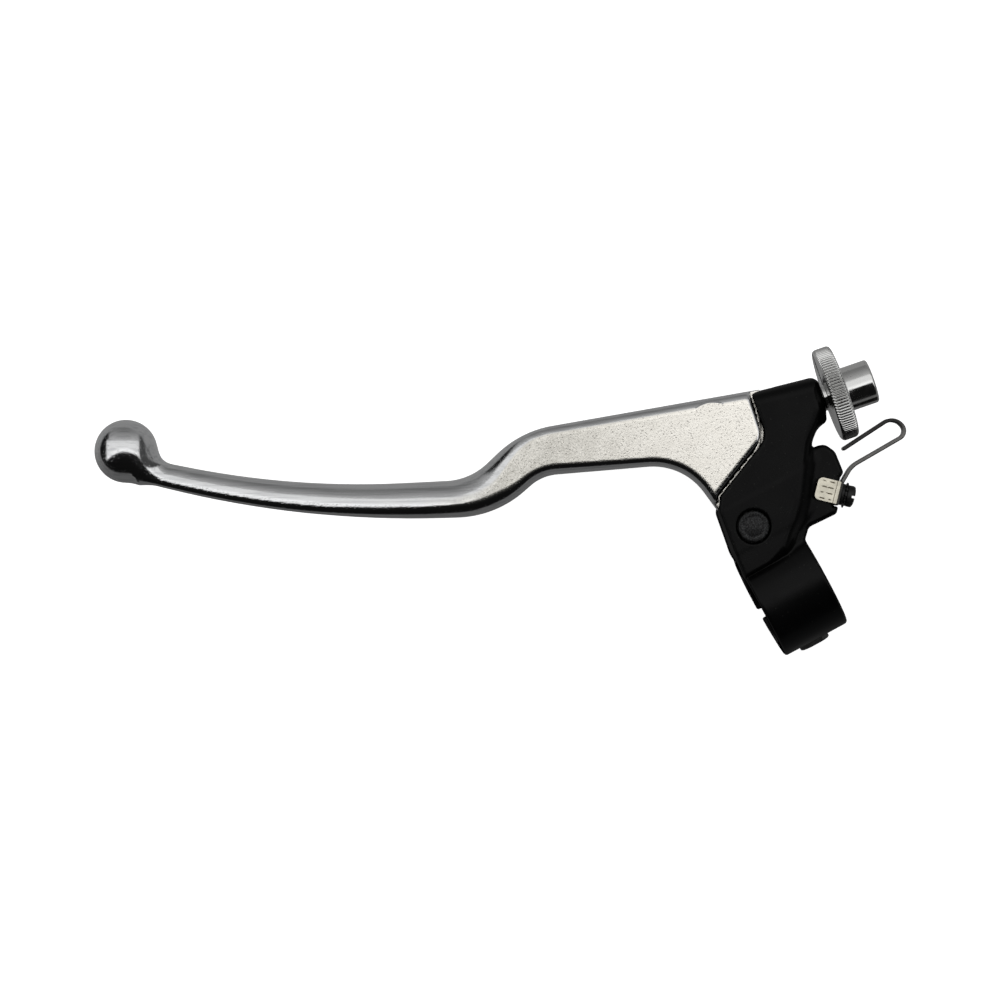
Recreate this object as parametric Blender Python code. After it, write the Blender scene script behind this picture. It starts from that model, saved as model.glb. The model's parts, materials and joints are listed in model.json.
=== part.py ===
"""Motorcycle clutch lever assembly: perch with handlebar clamp, lever, cable adjuster and its detent.

All sizes below are millimetres. The meshes are written in metres.
The origin is the centre of the handlebar bore. +X runs along the bar towards the middle of the
motorcycle, +Y forwards towards the lever, +Z up.
"""

import math

import bmesh
import bpy
from mathutils import Matrix, Vector

MM = 0.001
GAP = 0.3
FAR = 30.0  # reaches past every face that a cutter goes through

# Handlebar clamp
BAR_RADIUS = 11.1
CLAMP_RADIUS = 15.5
CLAMP_HALF_WIDTH = 10.15
SPLIT_WIDTH = 2.8
SPLIT_PLACE = -2.2
CLAMP_EAR_HALF_WIDTH = 8.6
CLAMP_EAR_REAR = -11.4
CLAMP_EAR_FRONT = 12.4
CLAMP_EAR_BOTTOM = -6.8
CLAMP_EAR_TOP = 8.4

# Perch plate, its two ears and the slot between them
LEVER_PLANE = 5.0
PLATE_HALF_HEIGHT = 9.0
LOW_HALF_HEIGHT = 5.8
SLOT_HALF_HEIGHT = 4.75
SLOT_RADIUS = 9.0
PLATE_CHAMFER = 0.8

# Lever pivot
PIVOT = (-1.1, 21.9)
LEVER_ANGLE = -28.5
PIVOT_HOLE_RADIUS = 3.3
BOLT_RADIUS = 3.0
BOLT_HEAD_RADIUS = 4.35
BOLT_HEAD_RISE = 0.7
BOLT_HEAD_HEIGHT = 1.9
COUNTERBORE_RADIUS = 4.85
NUT_ACROSS_FLATS = 10.0
NUT_HEIGHT = 5.8
NUT_COLLAR_RADII = (4.1, 4.7)
NUT_INSERT_RADIUS = 3.8
NUT_INSERT_HEIGHT = 1.6
BOLT_END_PAST_NUT = 0.8

# Lever, in its own frame: the pivot at the origin, the ball end towards -X
TONGUE_HALF_HEIGHT = 4.4
EYE_RADIUS = 7.2
BUSH_RADIUS = 4.7
BUSH_HALF_LENGTH = 4.5
BALL_CENTRE = (-178.4, 21.4)
BALL_RADIUS = 9.0
HUB_HALF_HEIGHT = 9.0
BLADE_HALF_HEIGHT = 7.0
NECK_HALF_HEIGHT = 4.6
NIPPLE_CENTRE = (-11.3, 27.8)
NIPPLE_RADIUS = 4.2
NIPPLE_BOSS_RADIUS = 6.5
CABLE_SLOT_WIDTH = 2.4
CABLE_HEADING = -12.1  # from the nipple to the middle of the wheel

# Cable adjuster
WHEEL_CENTRE = (37.95, 43.9)
ADJUSTER_HEADING = -9.4
BOSS_RADIUS = 5.8
BOSS_RANGE = (-19.0, -5.1)
WHEEL_RADIUS = 13.65
WHEEL_HALF_WIDTH = 2.6
WHEEL_CHAMFER = 0.6
BARREL_RADIUS = 6.4
BARREL_END = 11.2
STEM_RADIUS = 4.0
STEM_END = -17.8
FERRULE_RADIUS = 4.6
FERRULE_DEPTH = 8.4
WIRE_RADIUS = 1.4

# Detent spring, its screw and washers, on the end face of the perch's side lug
SCREW_SEAT = (24.39, 18.96)
SCREW_HEADING = -42.3
SPRING_THICKNESS = 1.0
SPRING_HALF_WIDTH = 2.4
TAB_HALF_WIDTH = 3.35
TAB_LENGTH = 6.1
SCREW_RADIUS = 2.0
SCREW_LENGTH = 8.0
SCREW_HEAD_RADIUS = 3.1
SCREW_HEAD_HEIGHT = 2.4
DRIVER_SLOT_WIDTH = 0.75
WASHER_RADIUS = 3.1
WASHER_THICKNESS = 0.9
TOOTH_WASHER_RADII = (3.0, 3.65)
TOOTH_WASHER_THICKNESS = 0.5
STACK_GAP = 0.2

# Clamp bolt, below the bar, running forwards from its head at the rear
CLAMP_BOLT_HEIGHT = -16.4
CLAMP_BOLT_LENGTH = 20.0
CLAMP_BOLT_FLATS = 8.0
CLAMP_BOLT_FLANGE_RADIUS = 6.4
CLAMP_BOLT_FLANGE_RIM = 0.7
CLAMP_BOLT_FLANGE_HEIGHT = 1.3
CLAMP_BOLT_HEAD_HEIGHT = 6.0
CLAMP_SPOT_FACE_RADIUS = 6.9

# Outlines: corners as (x, y, corner radius), anticlockwise
PLATE_CORNERS = (
    (-10.0, 10.3, 0.0),
    (4.6, 10.6, 3.0),
    (15.3, 21.2, 25.0),
    (24.6, 34.6, 6.0),
    (33.4, 42.0, 6.0),
    (34.8, 50.5, 2.2),
    (16.5, 55.3, 1.0),
    (14.2, 42.2, 6.0),
    (-5.2, 33.9, 2.0),
    (-7.6, 30.2, 3.0),
    (-9.2, 18.5, 20.0),
)
LOW_CORNERS = (
    (-9.8, 9.0, 0.0),
    (9.9, 9.0, 0.0),
    (9.9, 11.2, 1.0),
    (12.8, 14.1, 2.0),
    (21.5, 13.7, 1.4),
    (22.9, 15.2, 0.5),
    (21.85, 16.15, 0.2),
    (27.3, 22.2, 0.8),
    (28.9, 23.0, 1.5),
    (29.6, 29.5, 3.0),
    (27.9, 32.9, 2.5),
    (23.6, 33.4, 1.0),
    (25.4, 38.2, 3.4),
    (31.8, 37.9, 1.5),
    (34.5, 50.3, 2.2),
    (18.2, 54.3, 1.0),
    (16.4, 42.0, 0.0),
    (9.0, 37.0, 0.0),
    (-6.8, 30.0, 2.0),
    (-9.0, 18.5, 0.0),
)
TONGUE_CORNERS = (
    (-3.0, -1.0, 0.0),
    (7.1, 1.5, 0.0),
    (4.2, 34.5, 0.0),
    (2.0, 37.6, 1.0),
    (-8.0, 34.0, 0.0),
    (-24.0, 24.0, 0.0),
    (-10.4, 8.6, 0.0),
    (-7.1, 1.5, 0.0),
)
SLOT_CORNERS = (
    (9.0, 0.0, 0.0),
    (5.4, 34.0, 0.0),
    (6.2, 60.0, 0.0),
    (-40.0, 60.0, 0.0),
    (-40.0, -3.2, 0.0),
    (-8.4, -3.2, 0.0),
)
FRONT_EDGE = (
    (-174.0, 19.5, 0.0),
    (-130.4, 10.8, 250.0),
    (-80.4, 13.3, 18.0),
    (-65.9, 27.0, 30.0),
    (8.0, 40.0, 0.0),
)
REAR_EDGE = (
    (-174.0, 12.6, 0.0),
    (-127.7, 1.1, 290.0),
    (-73.0, 2.8, 30.0),
    (-59.8, 14.4, 13.0),
    (-19.6, 17.8, 18.0),
    (-9.4, 4.0, 0.0),
    (8.0, 4.0, 0.0),
)
SPRING_PATH = (
    (23.04, 16.26, 0.0),
    (26.61, 20.2, 1.5),
    (31.9, 23.45, 7.0),
    (50.2, 23.95, 2.4),
    (50.25, 30.3, 3.8),
    (32.5, 28.85, 0.0),
)

# Finishes: base colour, metallic, roughness
FINISHES = {
    "black_paint": ((0.012, 0.012, 0.013), 0.0, 0.45),
    "polished_aluminium": ((0.86, 0.85, 0.82), 1.0, 0.22),
    "chrome": ((0.78, 0.78, 0.76), 1.0, 0.15),
    "dark_steel": ((0.10, 0.10, 0.10), 0.8, 0.5),
    "zinc_steel": ((0.60, 0.60, 0.58), 1.0, 0.35),
    "spring_steel": ((0.55, 0.54, 0.50), 1.0, 0.3),
    "black_steel": ((0.02, 0.02, 0.02), 0.6, 0.5),
    "nylon": ((0.75, 0.76, 0.72), 0.0, 0.5),
}


def clear_scene():
    for thing in list(bpy.data.objects):
        bpy.data.objects.remove(thing, do_unlink=True)


def finish_material(name):
    material = bpy.data.materials.get(name) or bpy.data.materials.new(name)
    material.use_nodes = True
    colour, metallic, roughness = FINISHES[name]
    shader = material.node_tree.nodes["Principled BSDF"]
    shader.inputs["Base Color"].default_value = (*colour, 1.0)
    shader.inputs["Metallic"].default_value = metallic
    shader.inputs["Roughness"].default_value = roughness
    return material


def frame_at(name, place, height, rotation):
    """An empty whose axes a piece is modelled on; rotation in degrees."""
    empty = bpy.data.objects.new(name, None)
    bpy.context.scene.collection.objects.link(empty)
    empty.location = Vector((*place, height)) * MM
    empty.rotation_euler = [math.radians(angle) for angle in rotation]
    return empty


def facing(heading):
    """Rotation that lays local Z level, at this heading from +X, with local Y up."""
    return (90.0, 0.0, heading + 90.0)


def add_object(name, bm, finish=None, parent=None):
    """A mesh object from millimetre geometry. Without a finish it is a hidden cutter or filler."""
    bmesh.ops.recalc_face_normals(bm, faces=bm.faces)
    bmesh.ops.scale(bm, vec=(MM, MM, MM), verts=bm.verts)
    mesh = bpy.data.meshes.new(name)
    bm.to_mesh(mesh)
    bm.free()
    thing = bpy.data.objects.new(name, mesh)
    bpy.context.scene.collection.objects.link(thing)
    thing.parent = parent
    if finish:
        mesh.materials.append(finish_material(finish))
        mesh.shade_smooth()
        mesh.set_sharp_from_angle(angle=math.radians(35))
    else:
        thing.hide_render = True
        thing.display_type = "WIRE"
    return thing


def combine(thing, other, operation):
    modifier = thing.modifiers.new(f"{operation.lower()} {other.name}", "BOOLEAN")
    modifier.operation = operation
    modifier.solver = "EXACT"
    modifier.object = other


def cut(thing, *cutters):
    for cutter in cutters:
        combine(thing, cutter, "DIFFERENCE")


def weld(thing, *fillers):
    for filler in fillers:
        combine(thing, filler, "UNION")


def arc(centre, radius, start, end, step=12.0):
    """Points from the start angle to the end angle, in degrees."""
    count = max(2, round(abs(end - start) / step))
    angles = [math.radians(start + (end - start) * i / count) for i in range(count + 1)]
    return [Vector((centre[0] + radius * math.cos(a), centre[1] + radius * math.sin(a))) for a in angles]


def corner_arc(before, corner, after, radius, step):
    """The fillet that replaces one corner of an outline."""
    back = (before - corner).normalized()
    ahead = (after - corner).normalized()
    half = back.angle(ahead) / 2
    middle = corner + (back + ahead).normalized() * (radius / math.sin(half))
    first = corner + back * (radius / math.tan(half)) - middle
    last = corner + ahead * (radius / math.tan(half)) - middle
    turn = math.degrees(math.atan2(first.cross(last), first.dot(last)))
    start = math.degrees(math.atan2(first.y, first.x))
    return arc(middle, radius, start, start + turn, step)


def rounded(corners, closed=True, step=12.0):
    """Outline points from corners given as (x, y, radius)."""
    places = [Vector(corner[:2]) for corner in corners]
    points = []
    for i, (place, corner) in enumerate(zip(places, corners)):
        at_end = not closed and i in (0, len(corners) - 1)
        if corner[2] == 0.0 or at_end:
            points.append(place)
            continue
        after = places[(i + 1) % len(places)]
        points += corner_arc(places[i - 1], place, after, corner[2], step)
    return points


def offset(points, amount, closed=True):
    """The points moved to the right of their path by amount, which grows an anticlockwise outline."""
    moved = []
    last = len(points) - 1
    for i, point in enumerate(points):
        before = points[i - 1] if closed or i > 0 else 2 * point - points[1]
        after = points[(i + 1) % len(points)] if closed or i < last else 2 * point - points[i - 1]
        into = (point - before).normalized()
        out = (after - point).normalized()
        side = Vector((into.y + out.y, -into.x - out.x)).normalized()
        moved.append(point + side * (amount / max(0.5, side.dot(Vector((out.y, -out.x))))))
    return moved


def prism(outline, low, high, chamfer=0.0):
    """A solid from an outline in XY, between two heights, with chamfered rims."""
    levels = [(0.0, low), (0.0, high)]
    if chamfer:
        levels = [(-chamfer, low), (0.0, low + chamfer), (0.0, high - chamfer), (-chamfer, high)]
    bm = bmesh.new()
    rings = []
    for grow, height in levels:
        ring = offset(outline, grow) if grow else outline
        rings.append([bm.verts.new((point.x, point.y, height)) for point in ring])
    stitch(bm, rings)
    bm.faces.new(rings[0])
    bm.faces.new(rings[-1])
    return bm


def stitch(bm, rings):
    """Side faces between neighbouring rings of equal length, or between a ring and a point."""
    for ring, following in zip(rings, rings[1:]):
        for i in range(max(len(ring), len(following))):
            j = i + 1
            corners = (
                ring[i % len(ring)],
                ring[j % len(ring)],
                following[j % len(following)],
                following[i % len(following)],
            )
            bm.faces.new(tuple(dict.fromkeys(corners)))


def turned(profile, sides=40, bored=False):
    """A turned solid about Z from (radius, height) points; a bored one closes back on itself."""
    bm = bmesh.new()
    rings = []
    for radius, height in profile:
        if radius == 0:
            rings.append([bm.verts.new((0, 0, height))])
            continue
        spots = [math.tau * i / sides for i in range(sides)]
        rings.append([bm.verts.new((radius * math.cos(a), radius * math.sin(a), height)) for a in spots])
    stitch(bm, rings + rings[:1] if bored else rings)
    return bm


def rod(radius, low, high, sides=40):
    return turned([(0, low), (radius, low), (radius, high), (0, high)], sides)


def tube(inner, outer, low, high, sides=40):
    return turned([(inner, low), (outer, low), (outer, high), (inner, high)], sides, bored=True)


def block(low, high):
    """A box between two opposite corners."""
    left, rear, bottom = low
    right, front, top = high
    outline = [Vector(place) for place in ((left, rear), (right, rear), (right, front), (left, front))]
    return prism(outline, bottom, top)


def hexagon(across_flats, low, high):
    radius = across_flats / math.sqrt(3)
    angles = [math.tau * i / 6 for i in range(6)]
    return prism([Vector((radius * math.cos(a), radius * math.sin(a))) for a in angles], low, high)


def smooth(value):
    value = min(1.0, max(0.0, value))
    return value * value * (3 - 2 * value)


def edge_at(points, x):
    """The height of an open edge at one x."""
    for first, last in zip(points, points[1:]):
        if first.x <= x <= last.x:
            return first.y + (last.y - first.y) * (x - first.x) / (last.x - first.x)
    raise ValueError(f"x {x} lies past the edge")


def lever_section(x, front, rear, sides=20):
    """One ring of the lever: oval along the blade, nearly rectangular at the hub."""
    hub = smooth((x + 84) / 26)
    neck = smooth((-120 - x) / 50)
    half_height = BLADE_HALF_HEIGHT + (HUB_HALF_HEIGHT - BLADE_HALF_HEIGHT) * hub
    half_height -= (BLADE_HALF_HEIGHT - NECK_HALF_HEIGHT) * neck
    squareness = 2.0 / (2.4 + 2.6 * hub)
    top, bottom = edge_at(front, x), edge_at(rear, x)
    ring = []
    for i in range(sides):
        angle = math.tau * i / sides
        across = math.copysign(abs(math.cos(angle)) ** squareness, math.cos(angle))
        up = math.copysign(abs(math.sin(angle)) ** squareness, math.sin(angle))
        ring.append((x, (top + bottom) / 2 + across * (top - bottom) / 2, up * half_height))
    return ring


def lever_body():
    """The blade and hub as one loft along X."""
    front = rounded(FRONT_EDGE, closed=False, step=2.0)
    rear = rounded(REAR_EDGE, closed=False, step=2.0)
    blade = [-172.0 + 7.6 * i for i in range(11)]
    knee = [-92.0 + 3.2 * i for i in range(16)]
    hub = [-40.0 + 3.0 * i for i in range(15)]
    bm = bmesh.new()
    rings = [[bm.verts.new(place) for place in lever_section(x, front, rear)] for x in blade + knee + hub]
    stitch(bm, rings)
    bm.faces.new(rings[0])
    bm.faces.new(rings[-1])
    return bm


def ball():
    bm = bmesh.new()
    bmesh.ops.create_uvsphere(bm, u_segments=28, v_segments=16, radius=BALL_RADIUS)
    bmesh.ops.translate(bm, vec=(*BALL_CENTRE, 0), verts=bm.verts)
    return bm


def to_lever_frame(points):
    """Perch outline points as the lever's own frame sees them."""
    turn = Matrix.Rotation(math.radians(-LEVER_ANGLE), 2)
    return [turn @ (point - Vector(PIVOT)) for point in points]


def shifted(bm, x=0.0, y=0.0, z=0.0):
    bmesh.ops.translate(bm, vec=(x, y, z), verts=bm.verts)
    return bm


def build_lever(pivot):
    lever = add_object("lever", lever_body(), "polished_aluminium", pivot)
    boss = shifted(rod(NIPPLE_BOSS_RADIUS, -HUB_HALF_HEIGHT + 0.05, HUB_HALF_HEIGHT - 0.05), *NIPPLE_CENTRE)
    weld(lever, add_object("ball", ball(), parent=pivot), add_object("nipple boss", boss, parent=pivot))
    hidden = offset(to_lever_frame(rounded(PLATE_CORNERS)), GAP + 0.15)
    steps = (("step above", TONGUE_HALF_HEIGHT, FAR), ("step below", -FAR, -TONGUE_HALF_HEIGHT))
    for name, low, high in steps:
        cut(lever, add_object(name, prism(hidden, low, high), parent=pivot))
    tongue = prism(rounded(TONGUE_CORNERS), -TONGUE_HALF_HEIGHT, TONGUE_HALF_HEIGHT)
    eye = rod(EYE_RADIUS, -TONGUE_HALF_HEIGHT - 0.05, TONGUE_HALF_HEIGHT + 0.05, 48)
    weld(lever, add_object("tongue", tongue, parent=pivot), add_object("eye", eye, parent=pivot))
    bore = rod(BUSH_RADIUS + GAP, -FAR, FAR)
    pocket = shifted(rod(NIPPLE_RADIUS, -FAR, TONGUE_HALF_HEIGHT, 32), *NIPPLE_CENTRE)
    slot = block((0, -CABLE_SLOT_WIDTH / 2, -CABLE_SLOT_WIDTH / 2), (FAR, FAR, CABLE_SLOT_WIDTH / 2))
    along_cable = Matrix.Rotation(math.radians(CABLE_HEADING - LEVER_ANGLE), 3, "Z")
    bmesh.ops.rotate(slot, matrix=along_cable, verts=slot.verts)
    shifted(slot, *NIPPLE_CENTRE)
    for name, shape in (("eye bore", bore), ("nipple pocket", pocket), ("lever cable slot", slot)):
        cut(lever, add_object(name, shape, parent=pivot))


def build_pivot(pivot):
    half = PLATE_HALF_HEIGHT
    bush = tube(PIVOT_HOLE_RADIUS, BUSH_RADIUS, -BUSH_HALF_LENGTH, BUSH_HALF_LENGTH)
    add_object("lever_bush", bush, "zinc_steel", pivot)
    top = half + BOLT_HEAD_RISE
    seat = -half - GAP
    nut_end = seat - NUT_HEIGHT
    foot = nut_end - NUT_INSERT_HEIGHT - BOLT_END_PAST_NUT
    head = top - BOLT_HEAD_HEIGHT
    profile = (
        (0, foot),
        (BOLT_RADIUS - 0.5, foot),
        (BOLT_RADIUS, foot + 0.5),
        (BOLT_RADIUS, head),
        (BOLT_HEAD_RADIUS, head),
        (BOLT_HEAD_RADIUS, top - 0.4),
        (BOLT_HEAD_RADIUS - 0.4, top),
        (0, top),
    )
    add_object("pivot_bolt", turned(profile), "dark_steel", pivot)
    nut = add_object("pivot_nut", hexagon(NUT_ACROSS_FLATS, nut_end, seat), "zinc_steel", pivot)
    collar = tube(*NUT_COLLAR_RADII, nut_end - NUT_INSERT_HEIGHT, nut_end + 0.4)
    weld(nut, add_object("nut collar", collar, parent=pivot))
    cut(nut, add_object("nut bore", rod(PIVOT_HOLE_RADIUS, -FAR, 0), parent=pivot))
    insert = tube(PIVOT_HOLE_RADIUS, NUT_INSERT_RADIUS, nut_end - NUT_INSERT_HEIGHT + 0.2, nut_end - GAP)
    add_object("nut_insert", insert, "nylon", pivot)


def clamp_ear():
    """The block below the bar that the clamp bolt draws together, about the bolt's axis."""
    outline = rounded((
        (-CLAMP_EAR_HALF_WIDTH, CLAMP_EAR_BOTTOM, 6.0),
        (CLAMP_EAR_HALF_WIDTH, CLAMP_EAR_BOTTOM, 6.0),
        (CLAMP_EAR_HALF_WIDTH, CLAMP_EAR_TOP, 0.0),
        (-CLAMP_EAR_HALF_WIDTH, CLAMP_EAR_TOP, 0.0),
    ))
    return prism(outline, -CLAMP_EAR_FRONT, -CLAMP_EAR_REAR, PLATE_CHAMFER)


def level_slab(corners, half_height):
    """A slab about the lever's plane with chamfered rims."""
    return prism(rounded(corners), LEVER_PLANE - half_height, LEVER_PLANE + half_height, PLATE_CHAMFER)


def build_perch(pivot, adjuster, screw, along_bar, bolt):
    perch = add_object("perch", level_slab(PLATE_CORNERS, PLATE_HALF_HEIGHT), "black_paint")
    low = level_slab(LOW_CORNERS, LOW_HALF_HEIGHT)
    boss = rod(BOSS_RADIUS, BOSS_RANGE[0], BOSS_RANGE[1])
    ring = rod(CLAMP_RADIUS, -CLAMP_HALF_WIDTH, CLAMP_HALF_WIDTH, 64)
    weld(perch, add_object("side lug", low), add_object("adjuster boss", boss, parent=adjuster),
         add_object("clamp ring", ring, parent=along_bar), add_object("clamp ears", clamp_ear(), parent=bolt))
    slot = prism(rounded(SLOT_CORNERS), -SLOT_HALF_HEIGHT, SLOT_HALF_HEIGHT)
    eye_room = rod(SLOT_RADIUS, -SLOT_HALF_HEIGHT + 0.02, SLOT_HALF_HEIGHT - 0.02, 48)
    lever_slot = add_object("lever slot", slot, parent=pivot)
    weld(lever_slot, add_object("eye room", eye_room, parent=pivot))
    top = PLATE_HALF_HEIGHT + BOLT_HEAD_RISE - BOLT_HEAD_HEIGHT - GAP
    pivot_room = (
        (0, -FAR),
        (PIVOT_HOLE_RADIUS, -FAR),
        (PIVOT_HOLE_RADIUS, top),
        (COUNTERBORE_RADIUS, top),
        (COUNTERBORE_RADIUS, FAR),
        (0, FAR),
    )
    bolt_hole_end = GAP - CLAMP_EAR_REAR - CLAMP_BOLT_LENGTH - 1.3
    bolt_room = (
        (0, bolt_hole_end),
        (BOLT_RADIUS + GAP, bolt_hole_end),
        (BOLT_RADIUS + GAP, -CLAMP_EAR_REAR),
        (CLAMP_SPOT_FACE_RADIUS, -CLAMP_EAR_REAR),
        (CLAMP_SPOT_FACE_RADIUS, FAR),
        (0, FAR),
    )
    wall = CABLE_SLOT_WIDTH / 2
    split_rear, split_front = SPLIT_PLACE - SPLIT_WIDTH / 2, SPLIT_PLACE + SPLIT_WIDTH / 2
    cut(
        perch,
        add_object("bar bore", rod(BAR_RADIUS, -FAR, FAR, 64), parent=along_bar),
        add_object("clamp split", block((-FAR, split_rear, -FAR), (FAR, split_front, -6))),
        lever_slot,
        add_object("pivot hole", turned(pivot_room, 36), parent=pivot),
        add_object("adjuster hole", rod(STEM_RADIUS + GAP, -FAR, 5, 32), parent=adjuster),
        add_object("perch cable slot", block((0.5, -wall, -FAR), (FAR, wall, 5)), parent=adjuster),
        add_object("spring screw hole", rod(SCREW_RADIUS + GAP, -SCREW_LENGTH - 1, 5, 24), parent=screw),
        add_object("clamp bolt hole", turned(bolt_room, 36), parent=bolt),
    )


def build_clamp_bolt(axis):
    seat = -CLAMP_EAR_REAR + GAP
    profile = (
        (0, seat - CLAMP_BOLT_LENGTH),
        (BOLT_RADIUS - 0.6, seat - CLAMP_BOLT_LENGTH),
        (BOLT_RADIUS, seat - CLAMP_BOLT_LENGTH + 0.6),
        (BOLT_RADIUS, seat),
        (CLAMP_BOLT_FLANGE_RADIUS, seat),
        (CLAMP_BOLT_FLANGE_RADIUS, seat + CLAMP_BOLT_FLANGE_RIM),
        (CLAMP_BOLT_FLANGE_RADIUS - 1.5, seat + CLAMP_BOLT_FLANGE_HEIGHT),
        (0, seat + CLAMP_BOLT_FLANGE_HEIGHT),
    )
    bolt = add_object("clamp_bolt", turned(profile), "black_steel", axis)
    head = hexagon(CLAMP_BOLT_FLATS, seat + 0.3, seat + CLAMP_BOLT_HEAD_HEIGHT)
    weld(bolt, add_object("bolt hexagon", head, parent=axis))


def build_adjuster(axis):
    half = WHEEL_HALF_WIDTH
    profile = (
        (WIRE_RADIUS, STEM_END),
        (STEM_RADIUS - 0.6, STEM_END),
        (STEM_RADIUS, STEM_END + 0.6),
        (STEM_RADIUS, -half),
        (WHEEL_RADIUS - WHEEL_CHAMFER * 2, -half),
        (WHEEL_RADIUS, -half + WHEEL_CHAMFER),
        (WHEEL_RADIUS, half - WHEEL_CHAMFER),
        (WHEEL_RADIUS - WHEEL_CHAMFER * 2, half),
        (BARREL_RADIUS, half),
        (BARREL_RADIUS, BARREL_END - 0.4),
        (BARREL_RADIUS - 0.4, BARREL_END),
        (FERRULE_RADIUS, BARREL_END),
        (FERRULE_RADIUS, BARREL_END - FERRULE_DEPTH),
        (WIRE_RADIUS, BARREL_END - FERRULE_DEPTH),
    )
    adjuster = add_object("adjuster", turned(profile, 72, bored=True), "chrome", axis)
    wall = CABLE_SLOT_WIDTH / 2
    cut(adjuster, add_object("adjuster cable slot", block((0.2, -wall, -FAR), (FAR, wall, FAR)), parent=axis))


def build_detent_spring(screw):
    half = SPRING_THICKNESS / 2
    path = rounded(SPRING_PATH, closed=False)
    outline = offset(path, half - 0.03, closed=False) + offset(path, 0.03 - half, closed=False)[::-1]
    strip = prism(outline, LEVER_PLANE - SPRING_HALF_WIDTH, LEVER_PLANE + SPRING_HALF_WIDTH)
    spring = add_object("detent_spring", strip, "spring_steel")
    outer = GAP + SPRING_THICKNESS
    tab = LOW_HALF_HEIGHT + outer
    foot = block((-TAB_HALF_WIDTH, -3.0, GAP), (TAB_HALF_WIDTH, tab, outer))
    under_tab = tab - SPRING_THICKNESS
    fold = block((-TAB_HALF_WIDTH, under_tab, -TAB_LENGTH), (TAB_HALF_WIDTH, tab - 0.01, outer - 0.01))
    weld(spring, add_object("spring foot", foot, parent=screw), add_object("spring tab", fold, parent=screw))
    cut(spring, add_object("spring hole", rod(SCREW_RADIUS + GAP, -3, 6, 24), parent=screw))


def build_spring_screw(screw):
    base = GAP + SPRING_THICKNESS + STACK_GAP
    washer = tube(SCREW_RADIUS + GAP, WASHER_RADIUS, base, base + WASHER_THICKNESS)
    add_object("flat_washer", washer, "black_steel", screw)
    teeth = base + WASHER_THICKNESS + STACK_GAP
    add_object("tooth_washer", toothed_ring(teeth, teeth + TOOTH_WASHER_THICKNESS), "black_steel", screw)
    head = teeth + TOOTH_WASHER_THICKNESS + STACK_GAP
    profile = (
        (0, -SCREW_LENGTH),
        (SCREW_RADIUS - 0.4, -SCREW_LENGTH),
        (SCREW_RADIUS, -SCREW_LENGTH + 0.4),
        (SCREW_RADIUS, head),
        (SCREW_HEAD_RADIUS - 0.1, head),
        (SCREW_HEAD_RADIUS, head + 1.4),
        (SCREW_HEAD_RADIUS - 0.7, head + 2.1),
        (0, head + SCREW_HEAD_HEIGHT),
    )
    piece = add_object("spring_screw", turned(profile, 32), "black_steel", screw)
    wall = DRIVER_SLOT_WIDTH / 2
    driver_slot = block((-wall, -5, head + 1.1), (wall, 5, head + 5))
    cut(piece, add_object("driver slot", driver_slot, parent=screw))


def toothed_ring(low, high, teeth=12):
    """A lock washer with teeth round its rim."""
    bm = bmesh.new()
    inner = SCREW_RADIUS + GAP
    root, tip = TOOTH_WASHER_RADII
    radii = [root, tip, tip, root] * teeth
    angles = [math.tau * (i + 0.5) / len(radii) for i in range(len(radii))]
    rings = []
    for reach, height in ((inner, low), (None, low), (None, high), (inner, high)):
        spots = [(reach or radius, angle) for radius, angle in zip(radii, angles)]
        rings.append([bm.verts.new((r * math.cos(a), r * math.sin(a), height)) for r, a in spots])
    stitch(bm, rings + rings[:1])
    return bm


def main():
    clear_scene()
    pivot = frame_at("lever pivot axis", PIVOT, LEVER_PLANE, (0.0, 0.0, LEVER_ANGLE))
    adjuster = frame_at("adjuster axis", WHEEL_CENTRE, LEVER_PLANE, facing(ADJUSTER_HEADING))
    screw = frame_at("spring screw axis", SCREW_SEAT, LEVER_PLANE, facing(SCREW_HEADING))
    along_bar = frame_at("bar axis", (0, 0), 0, facing(0))
    bolt = frame_at("clamp bolt axis", (0, 0), CLAMP_BOLT_HEIGHT, facing(-90))
    build_perch(pivot, adjuster, screw, along_bar, bolt)
    build_lever(pivot)
    build_pivot(pivot)
    build_adjuster(adjuster)
    build_detent_spring(screw)
    build_spring_screw(screw)
    build_clamp_bolt(bolt)


main()
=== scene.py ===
"""Looks for the clutch lever assembly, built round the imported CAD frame. Lengths here are millimetres."""

import json
import math

import bmesh
import bpy
import numpy as np
from mathutils import Matrix, Vector


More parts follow.
